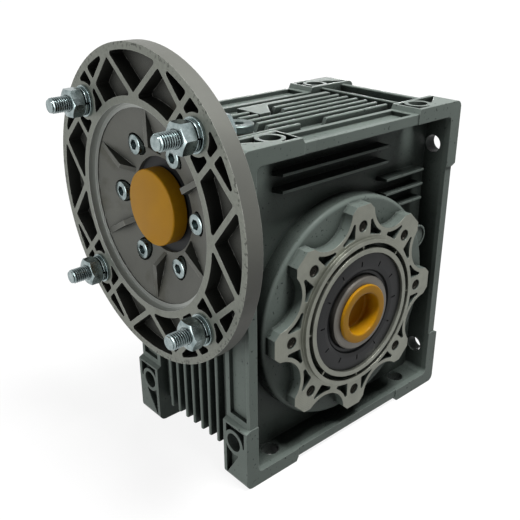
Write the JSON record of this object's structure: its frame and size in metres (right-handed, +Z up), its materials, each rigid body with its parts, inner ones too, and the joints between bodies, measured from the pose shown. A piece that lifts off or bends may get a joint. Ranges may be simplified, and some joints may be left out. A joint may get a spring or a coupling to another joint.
{
  "type": "worm gear reducer",
  "caption": "Right-angle worm gear reducer with a trussed motor flange, keyed hollow output shaft, star-shaped output flanges and finned square casing.",
  "frame": {"origin": "middle of the hollow output shaft, on its axis", "axes": "+Y along the output shaft away from the plugged front, -X towards the motor along the worm, +Z up from the feet to the worm"},
  "size_m": [0.2575, 0.2, 0.293],
  "materials": {
    "grey_painted_casting": "satin",
    "grey_cast_flange": "satin",
    "grey_cast_cover": "satin",
    "turned_steel": "satin",
    "bearing_steel": "polished",
    "spring_steel": "satin",
    "bronze": "satin",
    "black_rubber": "matte",
    "gasket_board": "matte",
    "yellow_plastic": "satin",
    "zinc_plated_steel": "satin",
    "copper_washer": "satin"
  },
  "bodies": {
    "housing": {"housing": "grey_painted_casting", "side_cover": "grey_cast_cover", "side_cover_seal": "black_rubber", "side_cover_screws": "zinc_plated_steel", "front_bearing_outer": "bearing_steel", "rear_bearing_outer": "bearing_steel", "front_output_seal": "black_rubber", "rear_output_seal": "black_rubber", "input_bearing_cup": "bearing_steel", "worm_rear_bearing_cup": "bearing_steel", "input_circlip": "spring_steel", "worm_rear_circlip": "spring_steel", "input_seal": "black_rubber", "worm_end_cap": "black_rubber", "input_flange": "grey_cast_flange", "flange_gasket": "gasket_board", "flange_screws": "zinc_plated_steel", "motor_bolts": "zinc_plated_steel", "motor_bolt_flat_washers": "zinc_plated_steel", "motor_bolt_spring_washers": "zinc_plated_steel", "motor_bolt_nuts": "zinc_plated_steel", "breather_plug": "zinc_plated_steel", "breather_washer": "copper_washer", "drain_plug": "zinc_plated_steel", "drain_washer": "copper_washer"},
    "output_shaft": {"output_hub": "turned_steel", "worm_wheel_rim": "bronze", "front_bearing_inner": "bearing_steel", "rear_bearing_inner": "bearing_steel"},
    "worm": {"worm_shaft": "turned_steel", "input_bearing_cone": "bearing_steel", "worm_rear_bearing_cone": "bearing_steel"},
    "front_ball_cage": {"front_bearing_balls": "bearing_steel"},
    "rear_ball_cage": {"rear_bearing_balls": "bearing_steel"},
    "input_roller_cage": {"input_bearing_rollers": "bearing_steel"},
    "rear_roller_cage": {"worm_rear_bearing_rollers": "bearing_steel"},
    "output_plug": {"output_bore_plug": "yellow_plastic"},
    "motor_cap": {"motor_bore_cap": "yellow_plastic"}
  },
  "joints": [
    {"name": "output_spin", "type": "hinge", "parent": "housing", "child": "output_shaft", "pos_m": [0, 0, 0], "axis": [0, 1, 0], "continuous": true},
    {"name": "worm_spin", "type": "hinge", "parent": "housing", "child": "worm", "pos_m": [0, 0, 0.09], "axis": [1, 0, 0], "continuous": true},
    {"name": "front_balls_roll", "type": "hinge", "parent": "housing", "child": "front_ball_cage", "pos_m": [0, 0, 0], "axis": [0, 1, 0], "continuous": true},
    {"name": "rear_balls_roll", "type": "hinge", "parent": "housing", "child": "rear_ball_cage", "pos_m": [0, 0, 0], "axis": [0, 1, 0], "continuous": true},
    {"name": "input_rollers_roll", "type": "hinge", "parent": "housing", "child": "input_roller_cage", "pos_m": [0, 0, 0.09], "axis": [1, 0, 0], "continuous": true},
    {"name": "rear_rollers_roll", "type": "hinge", "parent": "housing", "child": "rear_roller_cage", "pos_m": [0, 0, 0.09], "axis": [1, 0, 0], "continuous": true},
    {"name": "output_plug_pull", "type": "slide", "parent": "output_shaft", "child": "output_plug", "axis": [0, -1, 0], "range_m": [0, 0.03]},
    {"name": "motor_cap_pull", "type": "slide", "parent": "worm", "child": "motor_cap", "axis": [-1, 0, 0], "range_m": [0, 0.06]}
  ],
  "couplings": [
    {"joint": "worm_spin", "follows": "output_spin", "ratio": -30},
    {"joint": "front_balls_roll", "follows": "output_spin", "ratio": 0.4379},
    {"joint": "rear_balls_roll", "follows": "output_spin", "ratio": 0.4379},
    {"joint": "input_rollers_roll", "follows": "output_spin", "ratio": -13.097},
    {"joint": "rear_rollers_roll", "follows": "output_spin", "ratio": -12.766}
  ]
}
